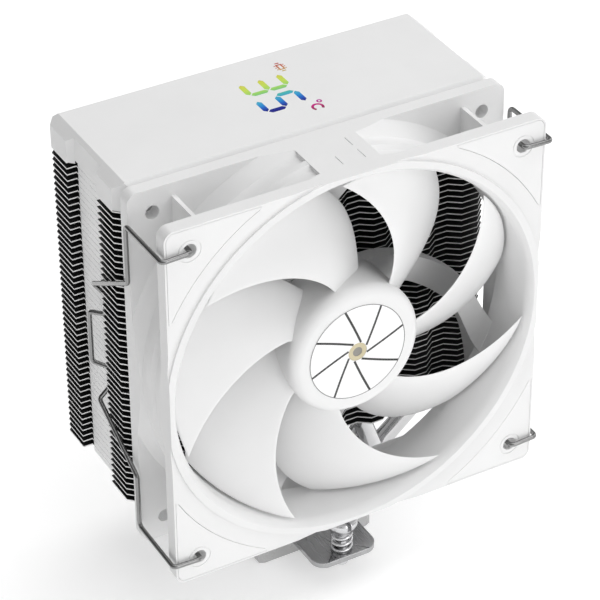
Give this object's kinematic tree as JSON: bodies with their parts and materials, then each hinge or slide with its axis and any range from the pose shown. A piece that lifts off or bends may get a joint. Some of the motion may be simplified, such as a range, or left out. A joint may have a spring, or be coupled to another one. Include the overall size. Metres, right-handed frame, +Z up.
{
  "type": "cpu tower cooler",
  "caption": "Single-tower processor cooler: finned stack on heat pipes, clip-on axial fan, sprung mounting bracket and a covered top with a segment temperature display.",
  "frame": {"origin": "centre of the cold plate's contact face", "axes": "+Z up from the contact face to the top cover; the fan is on the -Y side and blows along +Y; X runs across the cooler's width"},
  "size_m": [0.124, 0.096, 0.148],
  "materials": {
    "nickel_plate": "nickel-plated copper, fine machining marks",
    "aluminium_base": "bead-blasted, nickel-plated",
    "nickel_pipe": "nickel-plated, polished",
    "white_fin": "white coating",
    "white_plastic": "fine satin",
    "display": "translucent, lit from below",
    "guide_plastic": "moulded",
    "board": "solder mask",
    "led": "moulded lens",
    "screw_steel": "nickel-plated",
    "bracket_steel": "polished, plated",
    "spring_steel": "bright plated wire",
    "clip_steel": "phosphate",
    "white_rubber": "smooth",
    "label_film": "printed film",
    "magnet": "bonded ferrite",
    "brass": "turned",
    "bronze": "sintered",
    "core_steel": "laminated",
    "copper_wire": "enamelled copper",
    "wire_steel": "drawn spring wire"
  },
  "bodies": {
    "cooler": {"cold_plate": "nickel_plate", "base_block": "aluminium_base", "heat_pipe_1": "nickel_pipe", "heat_pipe_2": "nickel_pipe", "heat_pipe_3": "nickel_pipe", "heat_pipe_4": "nickel_pipe", "fins": "white_fin", "top_cover": "white_plastic", "display_segments": "display", "light_guide": "guide_plastic", "display_pcb": "board", "display_leds": "led", "display_screws": "screw_steel", "mounting_bracket": "bracket_steel", "bracket_screws": "screw_steel", "screw_spring_front": "spring_steel", "screw_spring_rear": "spring_steel", "fan_frame": "white_plastic", "corner_pads": "white_rubber", "bearing_sleeve": "bronze", "stator_core": "core_steel", "stator_coils": "copper_wire", "fan_pcb": "board", "bearing_cap": "white_plastic"},
    "rotor": {"impeller": "white_plastic", "hub_label": "label_film", "rotor_yoke": "bracket_steel", "rotor_magnet": "magnet", "rotor_bushing": "brass", "fan_shaft": "screw_steel", "shaft_clip": "guide_plastic"},
    "clip_left": {"wire_clip_left": "wire_steel"},
    "clip_right": {"wire_clip_right": "wire_steel"},
    "slider_front": {"e_clip_front": "clip_steel"},
    "screw_front": {"spring_screw_front": "screw_steel"},
    "slider_rear": {"e_clip_rear": "clip_steel"},
    "screw_rear": {"spring_screw_rear": "screw_steel"}
  },
  "joints": [
    {"name": "fan_spin", "type": "hinge", "parent": "cooler", "child": "rotor", "pos_m": [0, -0.0495, 0.088], "axis": [0, 1, 0], "continuous": true},
    {"name": "clip_left_swing", "type": "hinge", "parent": "cooler", "child": "clip_left", "pos_m": [-0.0525, -0.0506, 0.088], "axis": [0, 0, 1], "range_deg": [0, 18], "stiffness_Nm_per_rad": 0.3},
    {"name": "clip_right_swing", "type": "hinge", "parent": "cooler", "child": "clip_right", "pos_m": [0.0525, -0.0506, 0.088], "axis": [0, 0, -1], "range_deg": [0, 18], "stiffness_Nm_per_rad": 0.3},
    {"name": "screw_front_press", "type": "slide", "parent": "cooler", "child": "slider_front", "axis": [0, 0, -1], "range_m": [0, 0.0035], "stiffness_N_per_m": 5000, "springref_m": -0.0005, "deforming": ["screw_spring_front"]},
    {"name": "screw_front_turn", "type": "hinge", "parent": "slider_front", "child": "screw_front", "pos_m": [0, -0.04, 0.01], "axis": [0, 0, 1], "continuous": true},
    {"name": "screw_rear_press", "type": "slide", "parent": "cooler", "child": "slider_rear", "axis": [0, 0, -1], "range_m": [0, 0.0035], "stiffness_N_per_m": 5000, "springref_m": -0.0005, "deforming": ["screw_spring_rear"]},
    {"name": "screw_rear_turn", "type": "hinge", "parent": "slider_rear", "child": "screw_rear", "pos_m": [0, 0.04, 0.01], "axis": [0, 0, 1], "continuous": true}
  ]
}
